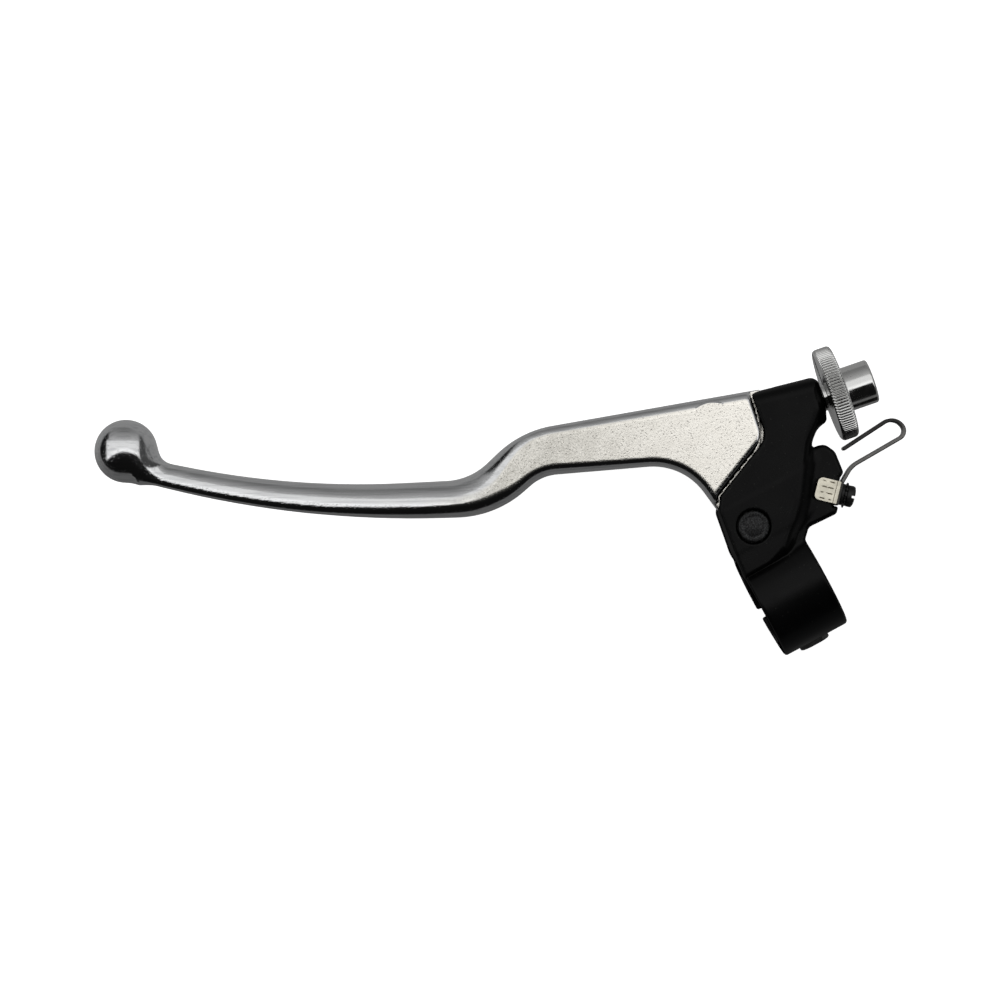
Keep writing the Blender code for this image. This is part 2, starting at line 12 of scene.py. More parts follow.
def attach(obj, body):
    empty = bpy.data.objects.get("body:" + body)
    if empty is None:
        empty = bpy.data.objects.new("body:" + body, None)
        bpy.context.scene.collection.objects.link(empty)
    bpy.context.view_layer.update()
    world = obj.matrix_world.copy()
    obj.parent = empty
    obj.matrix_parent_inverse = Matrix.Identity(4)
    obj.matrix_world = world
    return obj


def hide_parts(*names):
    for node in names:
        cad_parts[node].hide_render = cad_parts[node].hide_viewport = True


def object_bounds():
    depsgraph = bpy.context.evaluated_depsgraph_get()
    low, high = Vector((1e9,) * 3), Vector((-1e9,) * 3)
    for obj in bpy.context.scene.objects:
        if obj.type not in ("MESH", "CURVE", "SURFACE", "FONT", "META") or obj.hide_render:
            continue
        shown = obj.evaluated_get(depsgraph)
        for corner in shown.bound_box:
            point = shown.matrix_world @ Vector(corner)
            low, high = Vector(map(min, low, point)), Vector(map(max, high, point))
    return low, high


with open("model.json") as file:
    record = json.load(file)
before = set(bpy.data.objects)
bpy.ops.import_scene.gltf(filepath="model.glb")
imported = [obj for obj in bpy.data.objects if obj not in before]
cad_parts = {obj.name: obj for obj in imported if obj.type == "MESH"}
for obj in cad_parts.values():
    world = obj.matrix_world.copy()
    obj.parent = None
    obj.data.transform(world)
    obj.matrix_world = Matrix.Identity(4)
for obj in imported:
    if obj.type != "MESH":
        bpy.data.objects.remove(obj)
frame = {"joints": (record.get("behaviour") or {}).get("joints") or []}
cad_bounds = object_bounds()

MM = 0.001
TINY = 1e-9

# Places that the CAD frame gives
JOINTS = {joint["name"]: joint for joint in frame["joints"]}
PIVOT = Vector(JOINTS["lever_pivot"]["pos_m"]) / MM
WHEEL = Vector(JOINTS["adjuster_turn"]["pos_m"]) / MM
ADJUSTER_AXIS = Vector(JOINTS["adjuster_turn"]["axis"])
LEVER_PLANE = PIVOT.z
LEVER_ANGLE = math.radians(-28.5)
ADJUSTER_HEADING = math.atan2(ADJUSTER_AXIS.y, ADJUSTER_AXIS.x)
SCREW_SEAT = Vector((24.39, 18.96, LEVER_PLANE))
SCREW_HEADING = math.radians(-42.3)
BOLT_PLACE = Vector((0.0, 0.0, -16.4))

# Perch
BAR_RADIUS = 11.1
CLAMP_RADIUS = 15.5
CLAMP_HALF_WIDTH = 10.15
CLAMP_EAR = (8.6, -11.4, 12.4, -23.2, -8.0)
SPLIT_PLACE = -2.2
SPLIT_HALF_WIDTH = 1.4
PLATE_HALF_HEIGHT = 9.0
LOW_HALF_HEIGHT = 5.8
SLOT_HALF_HEIGHT = 4.75
SLOT_RADIUS = 9.0
BOSS_RADIUS = 5.8
BOSS_RANGE = (-19.0, -5.1)
STEM_HOLE_GAP = 0.3
PIVOT_HOLE_RADIUS = 3.3
COUNTERBORE_RADIUS = 4.85
COUNTERBORE_FLOOR = 7.5
SCREW_HOLE_RADIUS = 2.3
CLAMP_HOLE_RADIUS = 3.3
CLAMP_SEAT_RADIUS = 6.9

# Lever, in its own frame: the pivot at the origin, the ball end towards -X
TONGUE_HALF_HEIGHT = 4.4
EYE_RADIUS = 7.2
EYE_BORE_RADIUS = 5.0
BALL_CENTRE = (-178.4, 21.4)
BALL_RADIUS = 9.0
HUB_HALF_HEIGHT = 9.0
BLADE_HALF_HEIGHT = 7.0
NECK_HALF_HEIGHT = 4.6
NIPPLE_CENTRE = (-11.3, 27.8)
NIPPLE_RADIUS = 4.2
NIPPLE_BOSS = (-11.3, 26.9, 8.5)
CABLE_HEADING = math.radians(-12.1)

# Adjuster
STEM_RADIUS = 4.0
STEM_RANGE = (-17.8, -2.6)
THREAD_PITCH = 1.25
WHEEL_RADIUS = 13.65
WHEEL_HALF_WIDTH = 2.6
BARREL_RADIUS = 6.4
BARREL_END = 11.2
FERRULE_RADIUS = 4.6
FERRULE_DEPTH = 8.4
WIRE_RADIUS = 1.4
RIM_START = WHEEL_RADIUS - 1.3
CABLE_SLOT_HALF_WIDTH = 1.2
KNURL_TEETH = 96
KNURL_DEPTH = 0.5
RIM_ROUND = 1.2

# Detent spring
STRIP_HALF_THICKNESS = 0.55
STRIP_HALF_WIDTH = 2.4
FOOT_HALF_THICKNESS = 0.5
TAB_HALF_WIDTH = 3.35
TAB_END = -6.1

# Outlines: corners as (x, y, corner radius), anticlockwise
PLATE_CORNERS = (
    (-10.0, 10.3, 0.0),
    (4.6, 10.6, 3.0),
    (15.3, 21.2, 25.0),
    (24.6, 34.6, 6.0),
    (33.4, 42.0, 6.0),
    (34.8, 50.5, 2.2),
    (16.5, 55.3, 1.0),
    (14.2, 42.2, 6.0),
    (-5.2, 33.9, 2.0),
    (-7.6, 30.2, 3.0),
    (-9.2, 18.5, 20.0),
)
LOW_CORNERS = (
    (-9.8, 9.0, 0.0),
    (9.9, 9.0, 0.0),
    (9.9, 11.2, 1.0),
    (12.8, 14.1, 2.0),
    (21.5, 13.7, 1.4),
    (22.9, 15.2, 0.5),
    (21.85, 16.15, 0.2),
    (27.3, 22.2, 0.8),
    (28.9, 23.0, 1.5),
    (29.6, 29.5, 3.0),
    (27.9, 32.9, 2.5),
    (23.6, 33.4, 1.0),
    (25.4, 38.2, 3.4),
    (31.8, 37.9, 1.5),
    (34.5, 50.3, 2.2),
    (18.2, 54.3, 1.0),
    (16.4, 42.0, 0.0),
    (9.0, 37.0, 0.0),
    (-6.8, 30.0, 2.0),
    (-9.0, 18.5, 0.0),
)
TONGUE_CORNERS = (
    (-3.0, -1.0, 0.0),
    (7.1, 1.5, 0.0),
    (4.2, 34.5, 0.0),
    (2.0, 37.6, 1.0),
    (-8.0, 34.0, 0.0),
    (-24.0, 24.0, 0.0),
    (-10.4, 8.6, 0.0),
    (-7.1, 1.5, 0.0),
)
SLOT_CORNERS = (
    (9.0, 0.0, 0.0),
    (5.4, 34.0, 0.0),
    (6.2, 60.0, 0.0),
    (-40.0, 60.0, 0.0),
    (-40.0, -3.2, 0.0),
    (-8.4, -3.2, 0.0),
)
FRONT_EDGE = (
    (-174.0, 19.5, 0.0),
    (-130.4, 10.8, 250.0),
    (-80.4, 13.3, 18.0),
    (-65.9, 27.0, 30.0),
    (8.0, 40.0, 0.0),
)
REAR_EDGE = (
    (-174.0, 12.6, 0.0),
    (-127.7, 1.1, 290.0),
    (-73.0, 2.8, 30.0),
    (-59.8, 14.4, 13.0),
    (-19.6, 17.8, 18.0),
    (-9.4, 4.0, 0.0),
    (8.0, 4.0, 0.0),
)
SPRING_PATH = (
    (23.04, 16.26, 0.0),
    (26.61, 20.2, 1.5),
    (31.9, 23.45, 7.0),
    (50.2, 23.95, 2.4),
    (50.25, 30.3, 3.8),
    (32.5, 28.85, 0.0),
)


# ---- Outlines ----


def arc(centre, radius, start, turn, step):
    """Points along an arc, all angles in radians."""
    count = max(2, round(abs(turn) / step))
    angles = [start + turn * i / count for i in range(count + 1)]
    return [centre + Vector((math.cos(a), math.sin(a))) * radius for a in angles]


def rounded(corners, closed=True, step=math.radians(5)):
    """Outline points from corners given as (x, y, radius)."""
    places = [Vector(corner[:2]) for corner in corners]
    points = []
    for i, (place, corner) in enumerate(zip(places, corners)):
        radius = corner[2]
        if radius == 0.0 or (not closed and i in (0, len(corners) - 1)):
            points.append(place)
            continue
        back = (places[i - 1] - place).normalized()
        ahead = (places[(i + 1) % len(places)] - place).normalized()
        half = back.angle(ahead) / 2
        middle = place + (back + ahead).normalized() * (radius / math.sin(half))
        first = place + back * (radius / math.tan(half)) - middle
        last = place + ahead * (radius / math.tan(half)) - middle
        turn = math.atan2(first.cross(last), first.dot(last))
        points += arc(middle, radius, math.atan2(first.y, first.x), turn, step)
    return points


# ---- Distance fields: negative inside, in millimetres ----


def outline_distance(points, x, y):
    """Distance in the plane to a closed outline."""
    best = np.full(np.broadcast(x, y).shape, np.inf)
    inside = np.zeros(best.shape, bool)
    for a, b in zip(points, points[1:] + points[:1]):
        across, up = b.x - a.x, b.y - a.y
        share = np.clip(((x - a.x) * across + (y - a.y) * up) / (across * across + up * up), 0, 1)
        best = np.minimum(best, (x - a.x - share * across) ** 2 + (y - a.y - share * up) ** 2)
        spans = (a.y > y) != (b.y > y)
        inside ^= spans & (x < across * (y - a.y) / (up or TINY) + a.x)
    return np.where(inside, -1, 1) * np.sqrt(best)


def path_distance(points, x, y):
    """Distance in the plane to an open path."""
    best = np.full(np.broadcast(x, y).shape, np.inf)
    for a, b in zip(points, points[1:]):
        across, up = b.x - a.x, b.y - a.y
        share = np.clip(((x - a.x) * across + (y - a.y) * up) / (across * across + up * up), 0, 1)
        best = np.minimum(best, (x - a.x - share * across) ** 2 + (y - a.y - share * up) ** 2)
    return np.sqrt(best)


def meet(a, b, edge):
    """The space inside both, its outer edge rounded to a radius."""
    a, b = a + edge, b + edge
    return np.minimum(np.maximum(a, b), 0) + np.hypot(np.maximum(a, 0), np.maximum(b, 0)) - edge


def merge(a, b, fillet):
    """The space inside either, with a soft fillet between them."""
    near = np.maximum(fillet - np.abs(a - b), 0) / fillet
    return np.minimum(a, b) - near * near * fillet / 4


def carve(a, b, edge=0.5):
    """The first without the second, with a soft edge."""
    return -merge(-a, b, edge)


def smooth(value):
    value = np.clip(value, 0, 1)
    return value * value * (3 - 2 * value)


def turn_plan(x, y, centre, angle):
    """Plan coordinates seen from a frame at centre, turned by angle."""
    dx, dy = x - centre.x, y - centre.y
    return dx * math.cos(angle) + dy * math.sin(angle), dy * math.cos(angle) - dx * math.sin(angle)


# ---- Meshes ----


def corner_values(inside):
    """For each cell, how many of its eight corners are inside."""
    total = np.zeros([n - 1 for n in inside.shape], np.int8)
    for i in (0, 1):
        for j in (0, 1):
            for k in (0, 1):
                nx, ny, nz = total.shape
                total += inside[i:i + nx, j:j + ny, k:k + nz]
    return total


def settle(field, points, cell, rounds=3):
    """Moves points onto the field's surface and returns them with their normals."""
    step = 0.01
    for _ in range(rounds):
        here = field(*points.T)
        slope = np.stack([(field(*(points + step * axis).T) - here) / step for axis in np.eye(3)], axis=1)
        length = np.maximum(np.linalg.norm(slope, axis=1), 0.2)
        move = np.clip(here / length, -cell / 2, cell / 2)
        points = points - slope * (move / length)[:, None]
    return points, slope / length[:, None]


def surface_of(field, low, high, cell):
    """The surface of a distance field as points, quads and normals, by the surface nets method."""
    axes = [np.arange(a, b + cell, cell) for a, b in zip(low, high)]
    values = field(*np.meshgrid(*axes, indexing="ij", sparse=True))
    inside = values < 0
    corners = corner_values(inside)
    mixed = (corners > 0) & (corners < 8)
    number = np.full(mixed.shape, -1)
    number[mixed] = np.arange(mixed.sum())
    places = np.zeros((mixed.sum(), 3))
    hits = np.zeros(mixed.sum())
    quads = []
    for axis in range(3):
        u, v = (axis + 1) % 3, (axis + 2) % 3
        ahead = np.roll(np.arange(3) == 0, axis).astype(int)
        first = tuple(slice(0, n - a) for n, a in zip(inside.shape, ahead))
        second = tuple(slice(a, n) for n, a in zip(inside.shape, ahead))
        edges = np.argwhere(inside[first] != inside[second])
        edges = edges[(edges[:, u] > 0) & (edges[:, v] > 0)]
        edges = edges[(edges[:, u] < inside.shape[u] - 1) & (edges[:, v] < inside.shape[v] - 1)]
        near, far = values[tuple(edges.T)], values[tuple((edges + ahead).T)]
        spots = np.stack([axes[i][edges[:, i]] for i in range(3)], axis=1)
        spots[:, axis] += cell * near / (near - far)
        side_u, side_v = np.roll((1, 0, 0), u), np.roll((1, 0, 0), v)
        around = (edges - side_u - side_v, edges - side_v, edges, edges - side_u)
        cells = np.stack([number[tuple(cell_at.T)] for cell_at in around], axis=1)
        np.add.at(places, cells.ravel(), np.repeat(spots, 4, axis=0))
        np.add.at(hits, cells.ravel(), 1)
        outward = near < 0
        quads.append(np.where(outward[:, None], cells, cells[:, ::-1]))
    points, normals = settle(field, places / hits[:, None], cell)
    return points, np.concatenate(quads), normals


def object_from(name, points, faces, normals=None):
    """A mesh object from millimetre points in world axes."""
    mesh = bpy.data.meshes.new(name)
    mesh.from_pydata((np.asarray(points) * MM).tolist(), [], np.asarray(faces).tolist())
    mesh.validate()
    mesh.shade_smooth()
    if normals is not None:
        mesh.normals_split_custom_set_from_vertices(np.asarray(normals).tolist())
    piece = bpy.data.objects.new(name, mesh)
    bpy.context.scene.collection.objects.link(piece)
    return piece


def field_object(name, field, low, high, cell):
    return object_from(name, *surface_of(field, low, high, cell))


def lying(place, heading):
    """Matrix of a frame whose Z lies level at a heading, with Y up."""
    turn = Matrix.Rotation(heading + math.pi / 2, 4, "Z") @ Matrix.Rotation(math.pi / 2, 4, "X")
    return Matrix.Translation(Vector(place) * MM) @ turn


def standing(place, angle=0.0):
    return Matrix.Translation(Vector(place) * MM) @ Matrix.Rotation(angle, 4, "Z")


def mesh_object(name, bm, matrix, crease=35):
    """A mesh object from a bmesh in its own millimetre frame, placed by a matrix."""
    bmesh.ops.recalc_face_normals(bm, faces=bm.faces)
    bmesh.ops.scale(bm, vec=(MM, MM, MM), verts=bm.verts)
    bmesh.ops.transform(bm, matrix=matrix, verts=bm.verts)
    mesh = bpy.data.meshes.new(name)
    bm.to_mesh(mesh)
    bm.free()
    mesh.shade_smooth()
    mesh.set_sharp_from_angle(angle=math.radians(crease))
    piece = bpy.data.objects.new(name, mesh)
    bpy.context.scene.collection.objects.link(piece)
    return piece


def share_of(ring, i, count):
    """The points of a ring that the i-th of count side faces touches."""
    if len(ring) == 1:
        return ring
    each = len(ring) // count
    return [ring[j % len(ring)] for j in range(i * each, (i + 1) * each + 1)]


def stitch(bm, rings):
    """Side faces between neighbouring rings.

    One ring may be a point, or have a multiple of the other's points."""
    for ring, following in zip(rings, rings[1:]):
        count = min(len(r) for r in (ring, following) if len(r) > 1)
        for i in range(count):
            bm.faces.new(share_of(ring, i, count) + share_of(following, i, count)[::-1])


def turned(profile, sides=96, bored=False, reach=None, rim=1):
    """A turned solid about Z from (radius, height, corner radius) points.

    reach(radius, angle, height) may change the radius, as a knurl or a thread does. The wheel's
    rim takes rim times as many sides."""
    bm = bmesh.new()
    rings = []
    for radius, height in rounded(profile, closed=bored, step=math.radians(18)):
        if radius < TINY:
            rings.append([bm.verts.new((0, 0, height))])
            continue
        count = sides * rim if radius > RIM_START else sides
        angles = [math.tau * i / count for i in range(count)]
        reaches = [reach(radius, angle, height) if reach else radius for angle in angles]
        places = [(r * math.cos(a), r * math.sin(a), height) for r, a in zip(reaches, angles)]
        rings.append([bm.verts.new(place) for place in places])
    stitch(bm, rings + rings[:1] if bored else rings)
    return bm


def slab(low, high):
    """A box between two corners."""
    bm = bmesh.new()
    bmesh.ops.create_cube(bm, size=1)
    middle = [(a + b) / 2 for a, b in zip(low, high)]
    bmesh.ops.scale(bm, vec=[b - a for a, b in zip(low, high)], verts=bm.verts)
    bmesh.ops.translate(bm, vec=middle, verts=bm.verts)
    return bm


def cut_away(piece, bm, matrix):
    """Cuts a solid out of a piece for good."""
    cutter = mesh_object("cutter", bm, matrix)
    modifier = piece.modifiers.new("cut", "BOOLEAN")
    modifier.operation = "DIFFERENCE"
    modifier.solver = "EXACT"
    modifier.object = cutter
    cut_piece = piece.evaluated_get(bpy.context.evaluated_depsgraph_get())
    result = bpy.data.meshes.new_from_object(cut_piece)
    piece.modifiers.clear()
    piece.data = result
    bpy.data.objects.remove(cutter)
    result.set_sharp_from_angle(angle=math.radians(35))


def place_piece(piece, body, node, material):
    """Gives a piece its body, the CAD node it stands for, and its finish."""
    piece.data.materials.clear()
    piece.data.materials.append(material)
    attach(piece, body)
    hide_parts(node)
    return piece


# ---- Perch ----

PLATE = rounded(PLATE_CORNERS)
LOW = rounded(LOW_CORNERS)
SLOT = rounded(SLOT_CORNERS)


def perch_field(x, y, z):
    up = z - LEVER_PLANE
    ridge = smooth(((x - 4.6) * 0.768 - (y - 10.6) * 0.64 + 6) / 5)
    plate_edge = 0.8 + 2.4 * ridge
    plate = meet(outline_distance(PLATE, x, y), np.abs(up) - PLATE_HALF_HEIGHT, plate_edge)
    front = (x - 16.5) * 0.254 + (y - 55.3) * 0.967
    plate = np.maximum(plate, meet(front, np.abs(up) - PLATE_HALF_HEIGHT, 3.6))
    low = meet(outline_distance(LOW, x, y), np.abs(up) - LOW_HALF_HEIGHT, 1.3)
    body = merge(plate, low, 2.0 + 2.0 * smooth((33 - y) / 4) * smooth((y - 14) / 4))
    along, side = turn_plan(x, y, WHEEL, ADJUSTER_HEADING)
    first, last = BOSS_RANGE
    span = np.abs(along - (first + last) / 2) - (last - first) / 2
    boss = meet(np.hypot(side, up) - BOSS_RADIUS, span, 0.8)
    body = merge(body, boss, 1.5)
    ring = meet(np.hypot(y, z) - CLAMP_RADIUS, np.abs(x) - CLAMP_HALF_WIDTH, 0.9)
    body = merge(body, ring, 0.6)
    half_width, rear, ahead, bottom, top = CLAMP_EAR
    block = meet(np.abs(x) - half_width, np.abs(z - (bottom + top) / 2) - (top - bottom) / 2, 6.0)
    ears = meet(block, np.abs(y - (rear + ahead) / 2) - (ahead - rear) / 2, 0.9)
    body = merge(body, ears, 2.4)
    body = carve(body, meet(np.hypot(y, z) - BAR_RADIUS, np.abs(x) - 30, 0.0), 0.7)
    body = carve(body, meet(np.abs(y - SPLIT_PLACE) - SPLIT_HALF_WIDTH, z + 6, 0.0), 0.5)
    across, ahead = turn_plan(x, y, PIVOT, LEVER_ANGLE)
    slot = np.minimum(outline_distance(SLOT, across, ahead), np.hypot(across, ahead) - SLOT_RADIUS)
    body = carve(body, meet(slot, np.abs(up) - SLOT_HALF_HEIGHT, 0.6), 0.5)
    reach = np.hypot(across, ahead)
    body = carve(body, reach - PIVOT_HOLE_RADIUS, 0.3)
    body = carve(body, meet(reach - COUNTERBORE_RADIUS, COUNTERBORE_FLOOR - up, 0.0), 0.5)
    body = carve(body, meet(np.hypot(side, up) - STEM_RADIUS - STEM_HOLE_GAP, along - 5, 0.0), 0.5)
    body = carve(body, meet(np.maximum(np.abs(up) - CABLE_SLOT_HALF_WIDTH, -side), along - 5, 0.0), 0.4)
    along, side = turn_plan(x, y, SCREW_SEAT, SCREW_HEADING)
    body = carve(body, meet(np.hypot(side, up) - SCREW_HOLE_RADIUS, np.abs(along) - 9, 0.0), 0.3)
    reach = np.hypot(x, z - BOLT_PLACE.z)
    body = carve(body, meet(reach - CLAMP_HOLE_RADIUS, y - 9.6, 0.3), 0.4)
    return carve(body, meet(reach - CLAMP_SEAT_RADIUS, y - CLAMP_EAR[1], 0.0), 0.4)


def build_perch(paint):
    perch = field_object("perch_casting", perch_field, (-11.5, -17.0, -24.5), (36.2, 56.8, 16.7), 0.42)
    place_piece(perch, "perch", "perch", paint)


# ---- Lever ----

FINE = math.radians(1)
FRONT = rounded(FRONT_EDGE, closed=False, step=FINE)
REAR = rounded(REAR_EDGE, closed=False, step=FINE)
TONGUE = rounded(TONGUE_CORNERS)
# How far the rear side stands out past its rims, along the lever
REAR_BULGE = ((-125, -90, -72, -45, -20, -10), (0.0, 0.8, 1.8, 1.2, 0.8, 0.4))


def to_lever(point):
    """A plan point of the part as the lever's own frame sees it."""
    across, ahead = turn_plan(point.x, point.y, PIVOT, LEVER_ANGLE)
    return Vector((across, ahead))


PLATE_SEEN = [to_lever(point) for point in PLATE]


def edge_height(points, x):
    return np.interp(x, [point.x for point in points], [point.y for point in points])


def lever_field(x, y, z):
    tall = np.abs(z)
    front, rear = edge_height(FRONT, x), edge_height(REAR, x)
    width = front - rear
    hub = smooth((x + 86) / 24)
    neck = smooth((-120 - x) / 50)
    half = BLADE_HALF_HEIGHT + (HUB_HALF_HEIGHT - BLADE_HALF_HEIGHT) * smooth((x + 84) / 26)
    half = half - (BLADE_HALF_HEIGHT - NECK_HALF_HEIGHT) * neck
    front_edge = 0.65 * width * (1 - hub) + 3.0 * hub
    rear_edge = 0.27 * width * (1 - hub) + 1.8 * hub
    bulge = np.interp(x, *REAR_BULGE) * (tall / half) ** 2
    past_front = path_distance(FRONT, x, y) * np.sign(y - front)
    past_rear = path_distance(REAR, x, y) * np.sign(rear - y) + bulge
    body = np.maximum(meet(past_front, tall - half, front_edge), meet(past_rear, tall - half, rear_edge))
    body = np.maximum(body, np.maximum(-174 - x, x - 2))
    ball = np.sqrt((x - BALL_CENTRE[0]) ** 2 + (y - BALL_CENTRE[1]) ** 2 + z * z) - BALL_RADIUS
    body = merge(body, ball, 5.0)
    nipple = np.hypot(x - NIPPLE_CENTRE[0], y - NIPPLE_CENTRE[1])
    boss = np.hypot(x - NIPPLE_BOSS[0], y - NIPPLE_BOSS[1]) - NIPPLE_BOSS[2]
    body = np.minimum(body, meet(boss, tall - HUB_HALF_HEIGHT, 0.5))
    plate = outline_distance(PLATE_SEEN, x, y) - 0.55
    body = np.minimum(meet(body, -plate, 1.8), meet(body, tall - TONGUE_HALF_HEIGHT, 0.3))
    tongue = meet(outline_distance(TONGUE, x, y), tall - TONGUE_HALF_HEIGHT, 0.4)
    eye = np.hypot(x, y)
    tongue = np.minimum(tongue, meet(eye - EYE_RADIUS, tall - TONGUE_HALF_HEIGHT, 0.4))
    body = merge(body, tongue, 0.4)
    body = carve(body, eye - EYE_BORE_RADIUS, 0.3)
    body = carve(body, meet(nipple - NIPPLE_RADIUS, z - TONGUE_HALF_HEIGHT, 0.3), 0.5)
    along, side = turn_plan(x, y, Vector(NIPPLE_CENTRE), CABLE_HEADING - LEVER_ANGLE)
    slot = np.maximum(np.maximum(np.abs(side), tall) - CABLE_SLOT_HALF_WIDTH, -along)
    return carve(body, slot, 0.4)


def build_lever(metal):
    low, high = (-188.0, -9.2, -9.6), (9.5, 42.0, 9.6)
    points, faces, normals = surface_of(lever_field, low, high, 0.46)
    turn = np.array(Matrix.Rotation(LEVER_ANGLE, 3, "Z"))
    lever = object_from("lever_blade", points @ turn.T + np.array(PIVOT), faces, normals @ turn.T)
    place_piece(lever, "lever", "lever", metal)


# ---- Pivot ----


def hexagon_distance(x, y, flats):
    """Distance to a hexagon with corners on the X axis, by the distance across its flats."""
    slanted = np.abs(x) * math.cos(math.pi / 6) + np.abs(y) / 2
    return np.maximum(slanted, np.abs(y)) - flats / 2


def hexagon_solid(x, y, z, flats, low, high, chamfers=1):
    """A hexagon solid with its corners turned down at the low end, and at the high end too if asked."""
    solid = meet(hexagon_distance(x, y, flats), np.abs(z - (low + high) / 2) - (high - low) / 2, 0.15)
    reach = np.hypot(x, y) - flats / 2
    solid = np.maximum(solid, reach * 0.5 + (low - z) * 0.866)
    return np.maximum(solid, reach * 0.5 + (z - high) * 0.866) if chamfers == 2 else solid


def nut_field(x, y, z):
    low, high = -15.1, -9.3
    nut = hexagon_solid(x, y, z, 10.0, low, high, 2)
    reach = np.hypot(x, y)
    collar = meet(reach - 4.7, np.abs(z + 15.4) - 1.3, 0.45)
    nut = merge(nut, collar, 0.5)
    nut = carve(nut, reach - 3.3, 0.2)
    return carve(nut, meet(reach - 4.1, z - low, 0.0), 0.2)


def build_pivot(dark, zinc, nylon):
    at_pivot = standing(PIVOT, LEVER_ANGLE)
    top = 9.7
    profile = (
        (0.0, -17.5, 0.0),
        (2.5, -17.5, 0.1),
        (3.0, -17.0, 0.1),
        (3.0, 7.8, 0.0),
        (4.35, 7.8, 0.1),
        (4.35, top, 0.45),
        (3.1, top, 0.0),
        (3.0, top - 0.06, 0.0),
        (2.85, top - 0.06, 0.0),
        (2.75, top, 0.0),
        (0.0, top + 0.08, 0.0),
    )
    bolt = mesh_object("pivot_bolt_turned", turned(profile), at_pivot)
    place_piece(bolt, "perch", "pivot_bolt", dark)
    ring = ((3.3, -4.5, 0.25), (4.7, -4.5, 0.25), (4.7, 4.5, 0.25), (3.3, 4.5, 0.25))
    bush = mesh_object("bush_sleeve", turned(ring, bored=True), at_pivot)
    place_piece(bush, "lever", "lever_bush", zinc)
    points, faces, normals = surface_of(nut_field, (-6.2, -5.6, -17.2), (6.2, 5.6, -9.0), 0.17)
    turn = np.array(Matrix.Rotation(LEVER_ANGLE, 3, "Z"))
    nut = object_from("lock_nut", points @ turn.T + np.array(PIVOT), faces, normals @ turn.T)
    place_piece(nut, "perch", "pivot_nut", zinc)
    ring = ((3.3, -16.5, 0.3), (3.8, -16.5, 0.1), (3.8, -15.4, 0.1), (3.3, -15.4, 0.1))
    insert = mesh_object("nut_insert_ring", turned(ring, bored=True), at_pivot)
    place_piece(insert, "perch", "nut_insert", nylon)


# ---- Adjuster ----


def knurl_or_thread(radius, angle, height):
    """The teeth round the wheel's rim, and the thread along its stem."""
    if radius > WHEEL_RADIUS - RIM_ROUND / 2:
        depth = KNURL_DEPTH * (1 - (WHEEL_RADIUS - radius) / RIM_ROUND * 2)
        return radius - depth * (1 - abs(math.cos(KNURL_TEETH * angle / 2)))
    first, last = STEM_RANGE
    if abs(radius - STEM_RADIUS) < 0.1 and height < last:
        turns = height / THREAD_PITCH - angle / math.tau
        depth = 0.65 * smooth((height - first - 0.5) / 1.0) * smooth((last - 0.9 - height) / 1.2)
        return radius - depth * abs(2 * (turns - math.floor(turns + 0.5)))
    return radius


def adjuster_profile():
    """The adjuster's turned outline, from the stem's end to the ferrule socket."""
    half = WHEEL_HALF_WIDTH
    first, last = STEM_RANGE
    steps = 96
    stem = [(STEM_RADIUS, first + 0.6 + (last - first - 1.2) * i / steps, 0.0) for i in range(steps + 1)]
    return (
        (WIRE_RADIUS, first, 0.0),
        (STEM_RADIUS - 0.6, first, 0.0),
        *stem,
        (STEM_RADIUS - 0.55, last - 0.5, 0.0),
        (STEM_RADIUS - 0.55, -half, 0.2),
        (WHEEL_RADIUS - 1.5, -half, 0.0),
        (WHEEL_RADIUS, -half, RIM_ROUND),
        (WHEEL_RADIUS, half, RIM_ROUND),
        (WHEEL_RADIUS - 1.5, half, 0.0),
        (BARREL_RADIUS, half, 0.7),
        (BARREL_RADIUS, BARREL_END, 0.8),
        (FERRULE_RADIUS, BARREL_END, 0.3),
        (FERRULE_RADIUS, BARREL_END - FERRULE_DEPTH, 0.0),
        (WIRE_RADIUS, BARREL_END - FERRULE_DEPTH, 0.0),
    )


def build_adjuster(chrome):
    bm = turned(adjuster_profile(), KNURL_TEETH, bored=True, reach=knurl_or_thread, rim=8)
    place = lying(WHEEL, ADJUSTER_HEADING)
    adjuster = mesh_object("adjuster_wheel", bm, place)
    wall = CABLE_SLOT_HALF_WIDTH
    cut_away(adjuster, slab((0.2, -wall, -30), (30, wall, 30)), place)
    place_piece(adjuster, "adjuster", "adjuster", chrome)


# ---- Detent spring and its screw ----

SPRING_LINE = rounded(SPRING_PATH, closed=False)
FOOT_LINE = rounded(((0.8, -3.0, 0.0), (0.8, 6.6, 0.9), (TAB_END, 6.6, 0.0)), closed=False)


def spring_field(x, y, z):
    up = z - LEVER_PLANE
    thick = path_distance(SPRING_LINE, x, y) - STRIP_HALF_THICKNESS
    strip = meet(thick, np.abs(up) - STRIP_HALF_WIDTH, 0.25)
    out, side = turn_plan(x, y, SCREW_SEAT, SCREW_HEADING)
    sheet = path_distance(FOOT_LINE, out, up) - FOOT_HALF_THICKNESS
    wide = np.abs(side) - TAB_HALF_WIDTH
    plan = np.maximum(meet(wide, TAB_END - out, 1.5), meet(wide, -3 - up, 1.2))
    foot = meet(sheet, plan, 0.12)
    foot = carve(foot, meet(np.hypot(side, up) - SCREW_HOLE_RADIUS, -2 - out, 0.0), 0.1)
    return merge(strip, foot, 0.5)


def build_spring(steel):
    spring = field_object("detent_strip", spring_field, (16.4, 12.0, 1.0), (52.0, 31.4, 12.8), 0.16)
    place_piece(spring, "perch", "detent_spring", steel)


def toothed(radius, angle, height):
    """Twelve short square teeth round a lock washer's rim."""
    if radius < 3.0:
        return radius
    return 3.65 if math.cos(12 * angle) > 0.0 else 3.05


